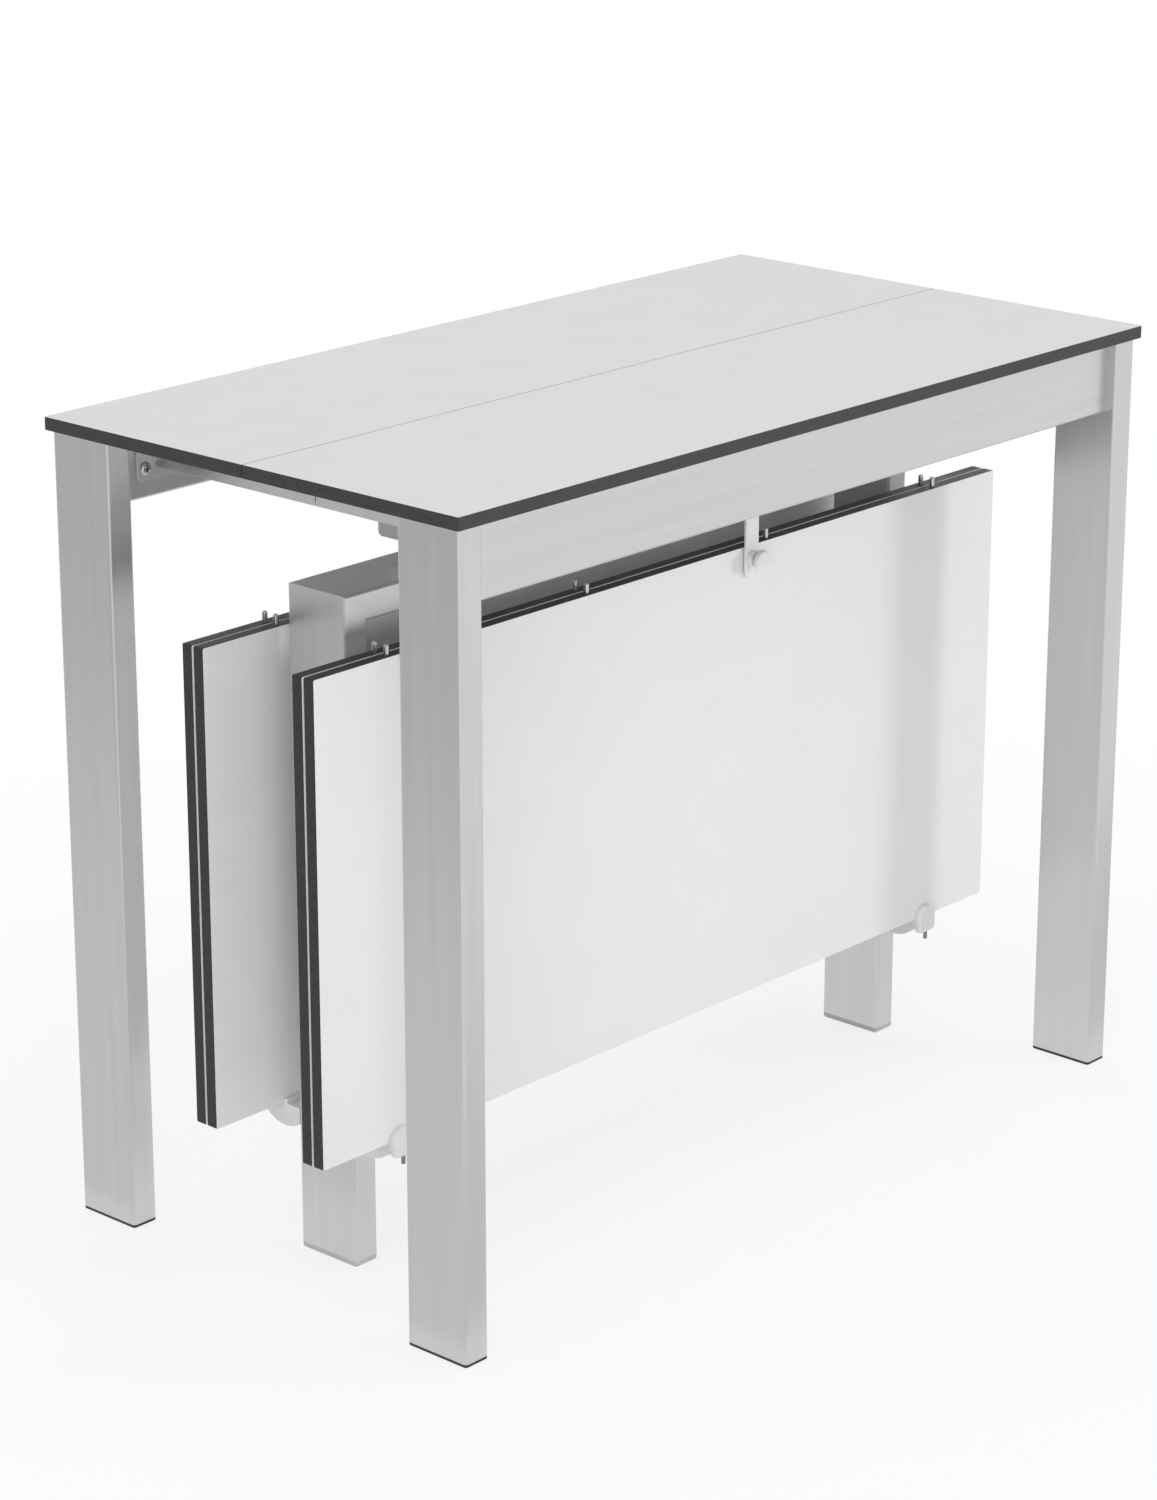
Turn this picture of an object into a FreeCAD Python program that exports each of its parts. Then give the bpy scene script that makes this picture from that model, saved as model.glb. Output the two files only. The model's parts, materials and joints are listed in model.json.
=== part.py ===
import FreeCAD, Part
import math
import os

from FreeCAD import Vector

# Extending console table.  Two half tops on their own pair of legs slide apart on telescopic
# aluminium rails; a centre support carries the middle rails and stores four loose leaves.
# Millimetres.  X runs along the table, Y across it (the front half is at -Y), Z up.
# The origin lies on the floor under the middle of the table.

# ---------------------------------------------------------------- driving dimensions

# top
table_length = 950.0
table_height = 760.0
board = 12.0                # thickness of every panel and leaf
board_corner = 1.0
panel_depth = 251.5         # one half of the top
panel_gap = 1.0             # joint between the two halves

# tubes of the frames
tube_long = 70.0
tube_short = 28.0
tube_wall = 2.0
tube_corner = 3.0

# outer frames
panel_overhang = 5.0        # panel edge beyond the outer faces of the legs
apron_recess = 10.0         # apron face behind the leg face
leg_top_plate = 3.0
foot_flange = 3.0
plug_height = 18.0          # part of a foot cap inside the tube
plug_wall = 2.5
plug_clearance = 0.15

# telescopic rails, side by side under the top
rail_stages = 3             # sliding stages of each half, next to the middle rail
rail_width = 12.0
rail_height = 38.0
rail_gap = 0.6              # between neighbouring rails
rail_top_gap = 0.5          # under the panels
rail_end_gap = 0.5          # between a rail and the far bracket plate
rail_wall = 1.8
slot_lip = 2.0
slot_mouth = 9.0
slot_height = 18.0
slot_depth = 5.0
slide_clearance = 0.3       # between the T of a rail and the slot it runs in

# covers beside the rails and brackets at their ends
bracket_leg_gap = 33.0      # bracket to the leg beside it
cover_wall = 2.0
cover_height = 41.0
cover_gap = 0.5             # cover to first rail
cover_flange = 14.0
cover_flange_gap = 4.0      # end of the flange to the tab of the bracket
bracket_plate = 3.0
bracket_reach = 19.0        # bracket beyond the cover
bracket_height = 53.0
bracket_tab = 22.0
bracket_corner = 3.0

# centre support
support_outset = 2.0        # centre legs beyond the rail covers
support_foot = 6.0
support_foot_bevel = 3.0
beam_height = 50.0
beam_corner = 5.0
beam_inset = 20.0           # end of the beam inside the innermost rail
beam_cap = 3.0
post_inset = 45.0           # middle of a post from the end of the beam
post_width = 28.0
post_depth = 50.0
post_height = 19.0          # beam above the crossbar
hanger_plate = 4.0
hanger_gap = 1.0            # hanger plate below the lower edge of the covers
hanger_overlap = 58.0       # hanger plate over the beam

# stored leaves
leaf_height = 450.0
leaf_drop = 18.0            # upper edge of the leaves below the crossbar
leaf_standoff = 20.0        # leg face to the nearer leaf
leaf_spacing = 2.0
dowel_radius = 2.5
dowel_proud = 10.0
dowel_depth = 16.0
dowel_fit = 0.05
dowel_flats = 8             # flats of a dowel, pin or socket
socket_radius = 2.75
socket_depth = 12.0
dowel_inner = 126.0
dowel_end_inset = 93.0      # outer dowels from the ends of a leaf

# rests that carry the leaves
rest_width = 26.0
rest_gap = 0.3              # leaf to the ridges of the rest
rest_bowl_leg = 16.0        # depth of the tray at the leg
rest_bowl_middle = 21.5
rest_bowl_lip = 7.0
rest_lip = 6.0
rest_lip_rise = 13.0
rest_lip_drop = 15.0
rest_lip_corner = 5.0
rest_ridge = 4.0
ridge_root = 1.0            # depth of a ridge in the tray
rest_ridge_rise = 4.0
rest_fin_rise = 10.0
rest_back = 4.0
rest_back_width = 16.0
rest_back_rise = 26.0
pin_radius = 2.0
pin_fit = 0.05
pin_below = 8.0
pin_above = 8.0

# clips over the leaves
clip_centre = 94.0
clip_width = 18.0
clip_wall = 3.0
clip_hinge_out = 7.0        # hinge axis in front of the crossbar
clip_hinge_up = 14.0        # hinge axis above the underside of the crossbar
clip_bend = 6.0
clip_tail = 29.0            # clip below the top edge of the leaves
clip_tail_round = 7.0
clip_face_gap = 2.0         # clip to the outer leaf
clip_collar_radius = 8.0    # collar in front of the clip, round the knob's stem
clip_collar_height = 5.0
knuckle_radius = 4.5
hinge_pin_radius = 2.0
hinge_fit = 0.05
hinge_pin_proud = 1.0       # pin beyond the ears
clip_plate_wing = 12.0      # plate beside each ear
clip_plate_height = 20.0
ear_wall = 2.0
ear_gap = 0.3
ear_reach = 5.0             # ear around the hinge axis
ear_corner = 2.5
knob_radius = 9.5
knob_height = 7.0
knob_gap = 3.0              # knob in front of the collar
knob_drop = 11.0            # knob axis below the top edge of the leaves
stem_radius = 3.0
pad_radius = 5.0
pad_gap = 0.3

# ---------------------------------------------------------------- derived places

panel_under = table_height - board
half_gap = panel_gap / 2
half_depth = half_gap + panel_depth
leg_out_x = table_length / 2 - panel_overhang
leg_in_x = leg_out_x - tube_short
leg_out_y = half_depth - panel_overhang
leg_in_y = leg_out_y - tube_long
apron_out_y = leg_out_y - apron_recess
apron_in_y = apron_out_y - tube_short
bracket_y = apron_in_y - bracket_plate

bracket_out = leg_in_x - bracket_leg_gap
cover_face = bracket_out - bracket_reach
cover_low = panel_under - cover_height
rail_top = panel_under - rail_top_gap
rail_low = rail_top - rail_height
rail_middle = (rail_low + rail_top) / 2
rail_pitch = rail_width + rail_gap
rail_start = cover_face - cover_wall - cover_gap
rail_count = 2 * rail_stages + 1
rail_end = rail_start - rail_count * rail_pitch + rail_gap
rail_stop = bracket_y - rail_end_gap
middle_rail_start = rail_start - rail_stages * rail_pitch

bracket_low = panel_under - bracket_height
cover_flange_start = bracket_y - bracket_tab - cover_flange_gap

half_long = tube_long / 2
hanger_top = cover_low - hanger_gap
hanger_low = hanger_top - hanger_plate
beam_low = hanger_low - beam_height
beam_half_length = rail_end - beam_inset
post_centre = beam_half_length - post_inset
support_half_length = cover_face + support_outset
support_inner = support_half_length - tube_short
support_height = beam_low - post_height
crossbar_low = support_height - tube_short

leaf_top = crossbar_low - leaf_drop
leaf_low = leaf_top - leaf_height
dowel_outer = table_length / 2 - dowel_end_inset
rest_centre = support_half_length - rest_width / 2
inner_leaf_y = half_long + leaf_standoff
outer_leaf_y = inner_leaf_y + board + leaf_spacing
leaf_face_y = outer_leaf_y + board

hinge_y = half_long + clip_hinge_out
hinge_z = crossbar_low + clip_hinge_up
clip_face_y = leaf_face_y + clip_face_gap
collar_face_y = clip_face_y + clip_wall + clip_collar_height
knob_z = leaf_top - knob_drop


# ---------------------------------------------------------------- helpers

def box(x_range, y_range, z_range):
    """Box from three (low, high) pairs."""
    low = Vector(x_range[0], y_range[0], z_range[0])
    return Part.makeBox(x_range[1] - x_range[0], y_range[1] - y_range[0], z_range[1] - z_range[0], low)


def edges_along(shape, axis):
    """Straight edges of a shape that run along an axis."""
    found = []
    for edge in shape.Edges:
        straight = edge.Curve.TypeId == "Part::GeomLine"
        if straight and abs(edge.tangentAt(edge.FirstParameter).dot(axis)) > 0.999:
            found.append(edge)
    return found


def rounded_bar(x_range, y_range, z_range, axis, radius):
    """Box whose long edges along one axis are rounded."""
    bar = box(x_range, y_range, z_range)
    return bar.makeFillet(radius, edges_along(bar, axis))


def shrink(pair, amount):
    return (pair[0] + amount, pair[1] - amount)


def tube_x(x_range, y_range, z_range, wall, corner):
    """Rectangular tube along X, open at both ends."""
    outside = rounded_bar(x_range, y_range, z_range, X_AXIS, corner)
    inside = box(x_range, shrink(y_range, wall), shrink(z_range, wall))
    return outside.cut(inside)


def tube_z(x_range, y_range, z_range, wall, corner):
    """Rectangular tube along Z, open at both ends."""
    outside = rounded_bar(x_range, y_range, z_range, Z_AXIS, corner)
    inside = box(shrink(x_range, wall), shrink(y_range, wall), z_range)
    return outside.cut(inside)


def box_tube(x_range, y_range, z_range, wall):
    """Upright tube with sharp corners."""
    return box(x_range, y_range, z_range).cut(box(shrink(x_range, wall), shrink(y_range, wall), z_range))


def rod(start, direction, length, radius):
    return Part.makeCylinder(radius, length, start, direction)


def mirror_x(shape):
    return shape.mirror(ORIGIN, X_AXIS)


def mirror_y(shape):
    return shape.mirror(ORIGIN, Y_AXIS)


def half_turn(shape):
    """Copy of a front piece, turned to the rear."""
    turned = shape.copy()
    turned.rotate(ORIGIN, Z_AXIS, 180)
    return turned


def edges_at(shape, axis, value):
    """Edges that lie in the plane where one coordinate has one value."""
    found = []
    for edge in shape.Edges:
        bound = edge.BoundBox
        low = Vector(bound.XMin, bound.YMin, bound.ZMin).dot(axis)
        high = Vector(bound.XMax, bound.YMax, bound.ZMax).dot(axis)
        if abs(low - value) < 1e-4 and abs(high - value) < 1e-4:
            found.append(edge)
    return found


def polygon_prism(points, depth):
    """Extrude a closed outline of points by a vector."""
    wire = Part.makePolygon(points + [points[0]])
    return Part.Face(wire).extrude(depth)


def fluted_rod(foot, length, radius):
    """Upright rod with flats in place of a round side; radius is that of its corners."""
    corners = []
    for index in range(dowel_flats):
        turn = 2 * math.pi * index / dowel_flats
        corners.append(foot + Vector(radius * math.cos(turn), radius * math.sin(turn), 0))
    return polygon_prism(corners, Z_AXIS * length)


ORIGIN = Vector(0, 0, 0)
X_AXIS = Vector(1, 0, 0)
Y_AXIS = Vector(0, 1, 0)
Z_AXIS = Vector(0, 0, 1)

pieces = {}


def keep(name, shape):
    pieces[name] = shape


# ---------------------------------------------------------------- boards

def top_panel():
    """Front half of the top, with eased outer corners."""
    half = table_length / 2
    panel = box((-half, half), (-half_depth, -half_gap), (panel_under, table_height))
    corners = [e for e in edges_along(panel, Z_AXIS) if e.BoundBox.YMin < -half_depth + 1]
    return panel.makeChamfer(board_corner, corners)


def dowel_places():
    return [-dowel_outer, -dowel_inner, dowel_inner, dowel_outer]


def stored_leaf(near_y):
    """Leaf on edge in front of the centre support, with dowel holes above and sockets below."""
    half = table_length / 2
    leaf = box((-half, half), (-near_y - board, -near_y), (leaf_low, leaf_top))
    leaf = leaf.makeChamfer(board_corner, edges_along(leaf, Y_AXIS))
    middle = -near_y - board / 2
    hole_depth = dowel_depth + dowel_fit
    for x in dowel_places():
        hole = fluted_rod(Vector(x, middle, leaf_top - hole_depth), hole_depth, dowel_radius + dowel_fit)
        socket = fluted_rod(Vector(x, middle, leaf_low), socket_depth, socket_radius)
        leaf = leaf.cut(hole).cut(socket)
    return leaf


def leaf_dowels(near_y):
    """Dowels in the upper edge of a leaf."""
    feet = [Vector(x, -near_y - board / 2, leaf_top - dowel_depth) for x in dowel_places()]
    return Part.makeCompound([fluted_rod(foot, dowel_depth + dowel_proud, dowel_radius) for foot in feet])


# ---------------------------------------------------------------- outer frames

def outer_leg():
    """Right front leg, closed at the top by a welded plate."""
    x_range = (leg_in_x, leg_out_x)
    y_range = (-leg_out_y, -leg_in_y)
    leg = tube_z(x_range, y_range, (foot_flange, panel_under), tube_wall, tube_corner)
    plate = rounded_bar(x_range, y_range, (panel_under - leg_top_plate, panel_under), Z_AXIS, tube_corner)
    return leg.fuse(plate).removeSplitter()


def front_apron():
    """Tube between the legs."""
    return tube_x((-leg_in_x, leg_in_x), (-apron_out_y, -apron_in_y), (panel_under - tube_long, panel_under),
                  tube_wall, tube_corner)


def foot_plug(x_range, y_range, flange):
    """Hollow plug of a foot cap, inside the tube above the flange."""
    plug_x = shrink(x_range, tube_wall + plug_clearance)
    plug_y = shrink(y_range, tube_wall + plug_clearance)
    return box_tube(plug_x, plug_y, (flange, flange + plug_height), plug_wall)


def outer_foot():
    """Plastic cap of the right front leg."""
    x_range = (leg_in_x, leg_out_x)
    y_range = (-leg_out_y, -leg_in_y)
    flange = rounded_bar(x_range, y_range, (0, foot_flange), Z_AXIS, tube_corner)
    return flange.fuse(foot_plug(x_range, y_range, foot_flange))


# ---------------------------------------------------------------- rails

def rail_outline(outer_x, slotted, ribbed, low):
    """Outline of a right-hand rail, seen along Y: T slot outward, T rib inward."""
    mouth = slot_mouth / 2
    cavity = slot_height / 2
    neck = mouth - slide_clearance
    head = cavity - slide_clearance
    neck_reach = rail_width + rail_gap + slot_lip + slide_clearance
    head_reach = neck_reach + slot_depth - 2 * slide_clearance
    outline = [(0, low), (rail_width, low)]
    if ribbed:
        lower = [(rail_width, -neck), (neck_reach, -neck), (neck_reach, -head), (head_reach, -head)]
        outline += [(s, rail_middle + z) for s, z in lower]
        outline += [(s, rail_middle - z) for s, z in reversed(lower)]
    outline += [(rail_width, rail_top), (0, rail_top)]
    if slotted:
        back = slot_lip + slot_depth
        upper = [(0, mouth), (slot_lip, mouth), (slot_lip, cavity), (back, cavity)]
        outline += [(s, rail_middle + z) for s, z in upper]
        outline += [(s, rail_middle - z) for s, z in reversed(upper)]
    return [Vector(outer_x - s, 0, z) for s, z in outline]


def rail(place, slotted, ribbed, y_range, low=rail_low):
    """Right-hand rail number place, counted inward, with a hollow above and below its slot."""
    outer_x = rail_start - place * rail_pitch
    profile = rail_outline(outer_x, slotted, ribbed, low)
    length = y_range[1] - y_range[0]
    solid = polygon_prism([p + Vector(0, y_range[0], 0) for p in profile], Vector(0, length, 0))
    hollow_x = (outer_x - rail_width + rail_wall, outer_x - rail_wall)
    cavity = slot_height / 2 + rail_wall
    for z_range in ((low + rail_wall, rail_middle - cavity), (rail_middle + cavity, rail_top - rail_wall)):
        solid = solid.cut(box(hollow_x, y_range, z_range))
    return solid


def middle_rail():
    """Rail fixed to the centre support; it reaches down to the hanger plate."""
    return rail(rail_stages, True, True, (-rail_stop, rail_stop), hanger_top)


def rail_cover():
    """Angle that hides the rails of the front half, fixed under the panel."""
    web = box((cover_face - cover_wall, cover_face), (-bracket_y, -half_gap), (cover_low, panel_under))
    flange = box((cover_face, cover_face + cover_flange), (-cover_flange_start, -half_gap),
                 (panel_under - cover_wall, panel_under))
    return web.fuse(flange).removeSplitter()


def rail_bracket():
    """Plate on the apron that holds the ends of rail and cover, with a tab to the panel."""
    plate = box((rail_end, bracket_out), (-apron_in_y, -bracket_y), (bracket_low, panel_under))
    lower = [e for e in edges_along(plate, Y_AXIS) if e.BoundBox.ZMax < bracket_low + 1]
    plate = plate.makeChamfer(bracket_corner, lower)
    tab = box((cover_face + cover_gap, bracket_out), (-bracket_y, -bracket_y + bracket_tab),
              (panel_under - bracket_plate, panel_under))
    return plate.fuse(tab).removeSplitter()


# ---------------------------------------------------------------- centre support

def support_leg():
    """Right centre leg, mitred to the crossbar."""
    leg = tube_z((support_inner, support_half_length), (-half_long, half_long),
                 (support_foot, support_height), tube_wall, tube_corner)
    below = polygon_prism([
        Vector(support_inner, -half_long, 0),
        Vector(support_half_length, -half_long, 0),
        Vector(support_half_length, -half_long, support_height),
        Vector(support_inner, -half_long, crossbar_low),
    ], Vector(0, tube_long, 0))
    return leg.common(below)


def crossbar():
    """Tube across the top of the centre legs, mitred at both ends."""
    bar = tube_x((-support_half_length, support_half_length), (-half_long, half_long),
                 (crossbar_low, support_height), tube_wall, tube_corner)
    above = polygon_prism([
        Vector(-support_half_length, -half_long, support_height),
        Vector(support_half_length, -half_long, support_height),
        Vector(support_inner, -half_long, crossbar_low),
        Vector(-support_inner, -half_long, crossbar_low),
    ], Vector(0, tube_long, 0))
    return bar.common(above)


def support_posts():
    """Two short sharp-cornered tubes, welded between the crossbar and the beam."""
    x_range = (post_centre - post_width / 2, post_centre + post_width / 2)
    y_range = (-post_depth / 2, post_depth / 2)
    post = box_tube(x_range, y_range, (support_height, beam_low), tube_wall)
    return Part.makeCompound([post, mirror_x(post)])


def cross_beam():
    """Deep tube under the rails that ties the left and right middle rails together."""
    reach = beam_half_length - beam_cap
    return tube_x((-reach, reach), (-half_long, half_long), (beam_low, hanger_low), tube_wall, beam_corner)


def beam_caps():
    """Caps in both ends of the beam."""
    seat = beam_half_length - beam_cap
    y_range = (-half_long, half_long)
    z_range = (beam_low, hanger_low)
    cap = rounded_bar((seat, beam_half_length), y_range, z_range, X_AXIS, beam_corner)
    inner = (seat - plug_height, seat)
    inset = tube_wall + plug_clearance
    plug = box(inner, shrink(y_range, inset), shrink(z_range, inset))
    hollow = box(inner, shrink(y_range, inset + plug_wall), shrink(z_range, inset + plug_wall))
    cap = cap.fuse(plug.cut(hollow))
    return Part.makeCompound([cap, mirror_x(cap)])


def hanger():
    """Right plate that ties the foot of the middle rail to the beam, under the sliding rails."""
    inner = beam_half_length - hanger_overlap
    return box((inner, middle_rail_start), (-half_long, half_long), (hanger_low, hanger_top))


def support_feet():
    """Plastic caps of the centre legs, eased all round at the floor."""
    x_range = (support_inner, support_half_length)
    y_range = (-half_long, half_long)
    flange = box(x_range, y_range, (0, support_foot))
    flange = flange.makeChamfer(support_foot_bevel, edges_at(flange, Z_AXIS, 0))
    foot = flange.fuse(foot_plug(x_range, y_range, support_foot))
    return Part.makeCompound([foot, mirror_x(foot)])


# ---------------------------------------------------------------- rests for the leaves

def ridge(from_leg, thickness, rise):
    """Ridge across a rest, from_leg being its face nearer the leg."""
    y = -half_long - from_leg
    return box((rest_centre - rest_width / 2, rest_centre + rest_width / 2), (y - thickness, y),
               (leaf_low - ridge_root, leaf_low + rise))


def rest_body():
    """Tray of a rest: a bowl with a round underside that carries the leaves."""
    lip_in = leaf_face_y - half_long + rest_gap

    def point(out, up):
        return Vector(rest_centre - rest_width / 2, -half_long - out, leaf_low + up)

    bowl_start = point(0, -rest_bowl_leg)
    bowl_end = point(lip_in, -rest_bowl_lip)
    underside = Part.Arc(bowl_start, point(lip_in / 2, -rest_bowl_middle), bowl_end)
    edges = [
        underside.toShape(),
        Part.makeLine(bowl_end, point(lip_in, 0)),
        Part.makeLine(point(lip_in, 0), point(0, 0)),
        Part.makeLine(point(0, 0), bowl_start),
    ]
    return Part.Face(Part.Wire(edges)).extrude(Vector(rest_width, 0, 0))


def rest_back_plate():
    """Plate that holds a rest to its leg, hidden behind it from the side."""
    return box((rest_centre - rest_back_width / 2, rest_centre + rest_back_width / 2),
               (-half_long - rest_back, -half_long), (leaf_low - ridge_root, leaf_low + rest_back_rise))


def rest_front_lip():
    """Tongue-shaped lip in front of the leaves: a dome above, round corners below."""
    radius = rest_width / 2
    y = -leaf_face_y - rest_gap
    shoulder = leaf_low + rest_lip_rise - radius
    low = leaf_low - rest_lip_drop

    def point(across, z):
        return Vector(rest_centre + across, y, z)

    dome = Part.Arc(point(-radius, shoulder), point(0, shoulder + radius), point(radius, shoulder))
    edges = [
        Part.makeLine(point(-radius, low), point(-radius, shoulder)),
        dome.toShape(),
        Part.makeLine(point(radius, shoulder), point(radius, low)),
        Part.makeLine(point(radius, low), point(-radius, low)),
    ]
    lip = Part.Face(Part.Wire(edges)).extrude(Vector(0, -rest_lip, 0))
    corners = [e for e in edges_along(lip, Y_AXIS) if e.BoundBox.ZMax < low + 1]
    return lip.makeFillet(rest_lip_corner, corners)


def rest_pin_foot():
    return Vector(rest_centre, -leaf_face_y - rest_gap - rest_lip / 2, leaf_low - rest_lip_drop - pin_below)


def leaf_rest():
    """Moulded rest on the front face of the right centre leg."""
    inner_ridge = ridge(leaf_standoff - rest_gap - rest_ridge, rest_ridge, rest_ridge_rise)
    fin_wall = leaf_spacing - 2 * rest_gap
    fin = ridge(leaf_standoff + board + rest_gap, fin_wall, rest_fin_rise)
    rest = rest_body().fuse([rest_back_plate(), rest_front_lip(), inner_ridge, fin]).removeSplitter()
    return rest.cut(fluted_rod(rest_pin_foot(), pin_below + pin_above + pin_fit, pin_radius + pin_fit))


def rest_pins():
    """Steel pins in the lips of the four rests."""
    pin = fluted_rod(rest_pin_foot(), pin_below + pin_above, pin_radius)
    pair = [pin, mirror_x(pin)]
    return Part.makeCompound(pair + [mirror_y(p) for p in pair])


# ---------------------------------------------------------------- clips

def clip_strap():
    """Strap from the hinge over the leaves, bent down in front of them, with a rounded tail."""
    left = clip_centre - clip_width / 2
    upper = hinge_z + clip_wall / 2
    lower = hinge_z - clip_wall / 2
    back = -clip_face_y
    front = back - clip_wall
    tip = leaf_top - clip_tail
    side_view = [
        (-hinge_y, upper), (front, upper), (front, tip),
        (back, tip), (back, lower), (-hinge_y, lower),
    ]
    strap = polygon_prism([Vector(left, y, z) for y, z in side_view], Vector(clip_width, 0, 0))

    def bend_edge(y, z):
        corner = Vector(clip_centre, y, z)
        return [e for e in edges_along(strap, X_AXIS) if e.BoundBox.Center.distanceToPoint(corner) < 1e-3]

    strap = strap.makeFillet(clip_bend, bend_edge(front, upper))
    strap = strap.makeFillet(clip_bend - clip_wall, bend_edge(back, lower))
    tail = [e for e in edges_along(strap, Y_AXIS) if e.BoundBox.ZMax < knob_z]
    return strap.makeFillet(clip_tail_round, tail)


def knob_axis(y):
    return Vector(clip_centre, y, knob_z)


def leaf_clip():
    """Front clip with its knuckle and a collar round the hole for the knob's stem."""
    start = Vector(clip_centre - clip_width / 2, -hinge_y, hinge_z)
    knuckle = rod(start, X_AXIS, clip_width, knuckle_radius)
    collar = rod(knob_axis(-collar_face_y), Y_AXIS, clip_collar_height, clip_collar_radius)
    clip = clip_strap().fuse([knuckle, collar]).removeSplitter()
    clip = clip.cut(rod(start, X_AXIS, clip_width, hinge_pin_radius + hinge_fit))
    hole_depth = clip_wall + clip_collar_height
    return clip.cut(rod(knob_axis(-collar_face_y), Y_AXIS, hole_depth, stem_radius + hinge_fit))


def clip_knob():
    """Turning knob with stem and pad, outlined as half a section and revolved about its axis."""
    pad_end = leaf_face_y + pad_gap
    pad_out = clip_face_y - pad_gap
    stem_end = collar_face_y + knob_gap
    knob_end = stem_end + knob_height

    half_section = [
        (pad_end, 0), (pad_end, pad_radius), (pad_out, pad_radius), (pad_out, stem_radius),
        (stem_end, stem_radius), (stem_end, knob_radius), (knob_end, knob_radius), (knob_end, 0),
    ]
    outline = [Vector(clip_centre, -out, knob_z + radius) for out, radius in half_section]
    wire = Part.makePolygon(outline + outline[:1])
    return Part.Face(wire).revolve(knob_axis(0), Y_AXIS, 360)


def clip_bracket():
    """Steel plate with two ears on the front face of the crossbar."""
    reach = clip_width / 2 + ear_gap
    wide = reach + ear_wall + clip_plate_wing
    half_height = clip_plate_height / 2
    x_range = (clip_centre - wide, clip_centre + wide)
    bracket = box(x_range, (-half_long - ear_wall, -half_long),
                  (hinge_z - half_height, hinge_z + half_height))
    for side in (-1, 1):
        inner = clip_centre + side * reach
        outer = inner + side * ear_wall
        x_pair = (min(inner, outer), max(inner, outer))
        tip = -hinge_y - ear_reach
        ear = box(x_pair, (tip, -half_long), (hinge_z - ear_reach, hinge_z + ear_reach))
        corners = [e for e in edges_along(ear, X_AXIS) if e.BoundBox.YMax < tip + ear_corner]
        bracket = bracket.fuse(ear.makeChamfer(ear_corner, corners))
    bore = rod(Vector(x_range[0], -hinge_y, hinge_z), X_AXIS, 2 * wide, hinge_pin_radius + hinge_fit)
    return bracket.removeSplitter().cut(bore)


def clip_pin():
    reach = clip_width / 2 + ear_gap + ear_wall + hinge_pin_proud
    return rod(Vector(clip_centre - reach, -hinge_y, hinge_z), X_AXIS, 2 * reach, hinge_pin_radius)


def front_and_rear(shape):
    return Part.makeCompound([shape, half_turn(shape)])


# ---------------------------------------------------------------- assembly

def build_outer_halves():
    """Both halves of the table: the rear frame is the front frame, mirrored."""
    pieces_of_half = {
        "panel": top_panel(),
        "apron": front_apron(),
        "right_leg": outer_leg(),
        "left_leg": mirror_x(outer_leg()),
        "feet": Part.makeCompound([outer_foot(), mirror_x(outer_foot())]),
        "rail_covers": Part.makeCompound([rail_cover(), mirror_x(rail_cover())]),
        "rail_brackets": Part.makeCompound([rail_bracket(), mirror_x(rail_bracket())]),
    }
    for name, shape in pieces_of_half.items():
        keep("front_" + name, shape)
        keep("rear_" + name, mirror_y(shape))


def build_rails():
    """Front stages lie outside the middle rail and rear stages inside it."""
    last = rail_count - 1
    for stage in range(1, rail_stages + 1):
        fixed = stage == 1
        near_end = bracket_y if fixed else rail_stop
        front = rail(stage - 1, stage > 1, True, (-near_end, rail_stop))
        rear = rail(last - stage + 1, True, stage > 1, (-rail_stop, near_end))
        for half, solid in (("front", front), ("rear", rear)):
            keep(f"{half}_right_rail_{stage}", solid)
            keep(f"{half}_left_rail_{stage}", mirror_x(solid))
    keep("right_middle_rail", middle_rail())
    keep("left_middle_rail", mirror_x(middle_rail()))


def build_centre():
    keep("right_centre_leg", support_leg())
    keep("left_centre_leg", mirror_x(support_leg()))
    keep("centre_feet", support_feet())
    keep("crossbar", crossbar())
    keep("crossbar_posts", support_posts())
    keep("cross_beam", cross_beam())
    keep("beam_caps", beam_caps())
    keep("right_hanger", hanger())
    keep("left_hanger", mirror_x(hanger()))
    rest = leaf_rest()
    keep("front_right_rest", rest)
    keep("front_left_rest", mirror_x(rest))
    keep("rear_right_rest", mirror_y(rest))
    keep("rear_left_rest", mirror_y(mirror_x(rest)))
    keep("rest_pins", rest_pins())


def build_leaves():
    for position, near_y in (("inner", inner_leaf_y), ("outer", outer_leaf_y)):
        leaf = stored_leaf(near_y)
        dowels = leaf_dowels(near_y)
        keep(f"front_{position}_leaf", leaf)
        keep(f"rear_{position}_leaf", mirror_y(leaf))
        keep(f"front_{position}_dowels", dowels)
        keep(f"rear_{position}_dowels", mirror_y(dowels))


def build_clips():
    """The rear clip is the front clip, turned half a turn about the middle of the table."""
    keep("front_clip", leaf_clip())
    keep("rear_clip", half_turn(leaf_clip()))
    keep("front_clip_knob", clip_knob())
    keep("rear_clip_knob", half_turn(clip_knob()))
    keep("clip_brackets", front_and_rear(clip_bracket()))
    keep("clip_pins", front_and_rear(clip_pin()))


def main():
    build_outer_halves()
    build_rails()
    build_centre()
    build_leaves()
    build_clips()
    os.makedirs("parts", exist_ok=True)
    for name, shape in pieces.items():
        shape.exportStep(f"parts/{name}.step")
    print(len(pieces), "pieces")


main()
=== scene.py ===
import json
import math

import bmesh
import bpy
from mathutils import Matrix, Vector

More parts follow.
